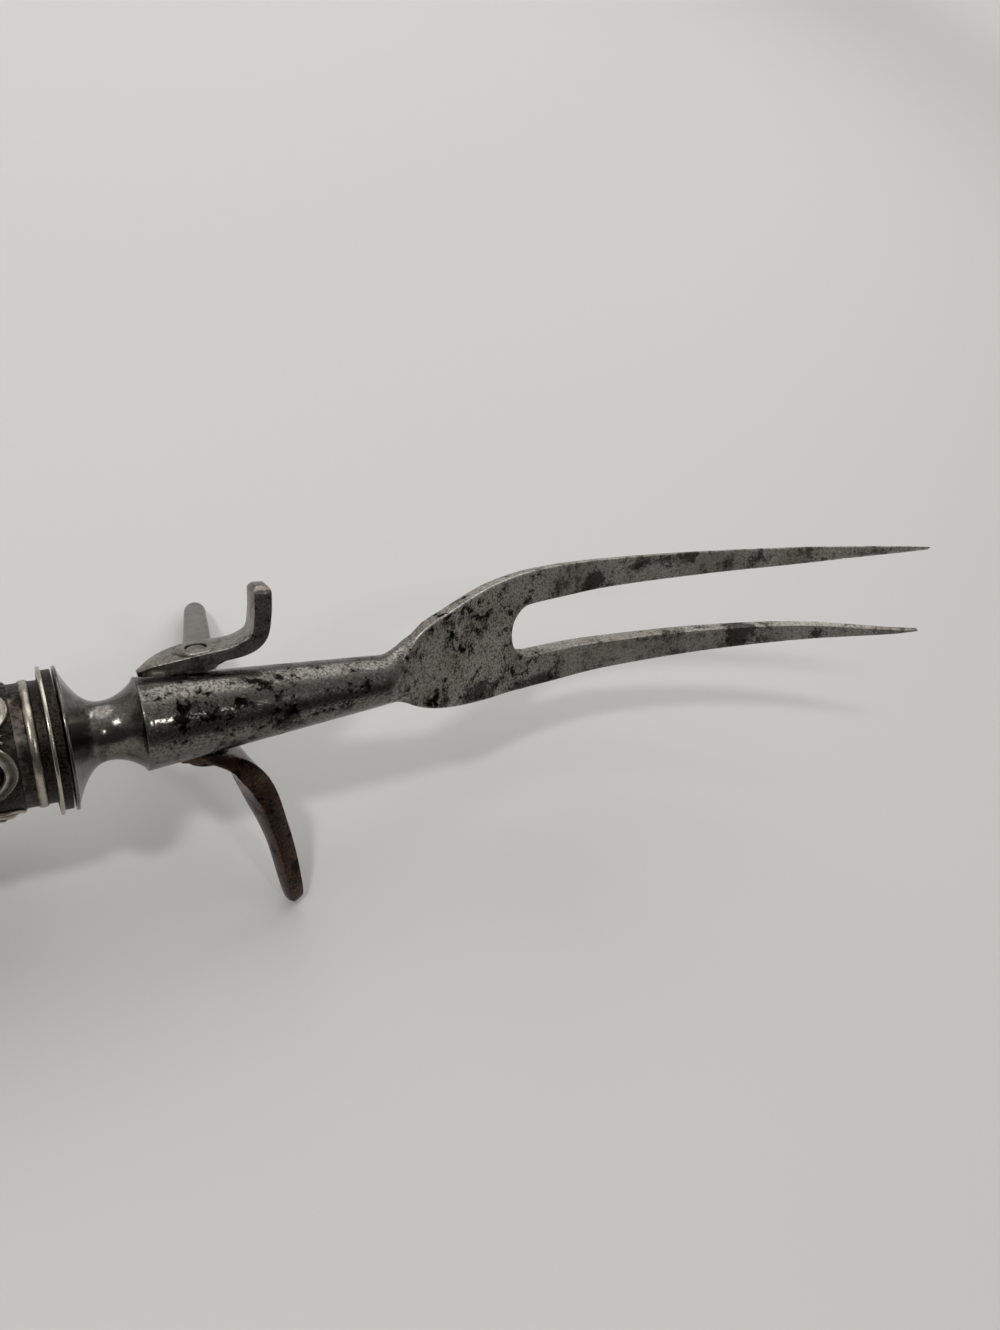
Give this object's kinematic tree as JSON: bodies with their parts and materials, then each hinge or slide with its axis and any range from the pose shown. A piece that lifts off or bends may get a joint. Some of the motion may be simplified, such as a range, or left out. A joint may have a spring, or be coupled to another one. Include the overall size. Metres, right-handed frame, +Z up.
{
  "type": "carving fork",
  "caption": "Long steel carving fork with bowed tines, a tapered round shank, a folding guard with splayed arms on a cross pin, and an ornate silver handle with a domed butt.",
  "frame": {"origin": "on the table under the middle of the part's box, with the fork lying on its guard prong, its side arm and its butt", "axes": "+X from the butt towards the tines, level; +Z up from the table; +Y to the left of +X"},
  "size_m": [0.2886, 0.069, 0.0622],
  "materials": {
    "aged_steel": "grey forged steel with dark pitting",
    "rusted_steel": "dark brown rusted steel",
    "old_silver": "tarnished silver with dark recesses",
    "pitch": "hardened black pitch"
  },
  "bodies": {
    "fork": {"fork_head": "aged_steel", "guard_spring": "aged_steel", "spring_rivet": "aged_steel", "ferrule": "old_silver", "bead_ring": "old_silver", "handle_shell_front": "old_silver", "handle_shell_back": "old_silver", "butt_cap": "old_silver", "pitch_core": "pitch"},
    "guard": {"guard_prong": "aged_steel", "thumb_lever": "aged_steel", "side_arm": "rusted_steel", "cross_pin": "aged_steel"}
  },
  "joints": [
    {"name": "guard_fold", "type": "hinge", "parent": "fork", "child": "guard", "pos_m": [-0.00772, -0.01116, 0.02921], "axis": [0.1148, -0.5528, -0.8253], "range_deg": [0, 60]}
  ]
}
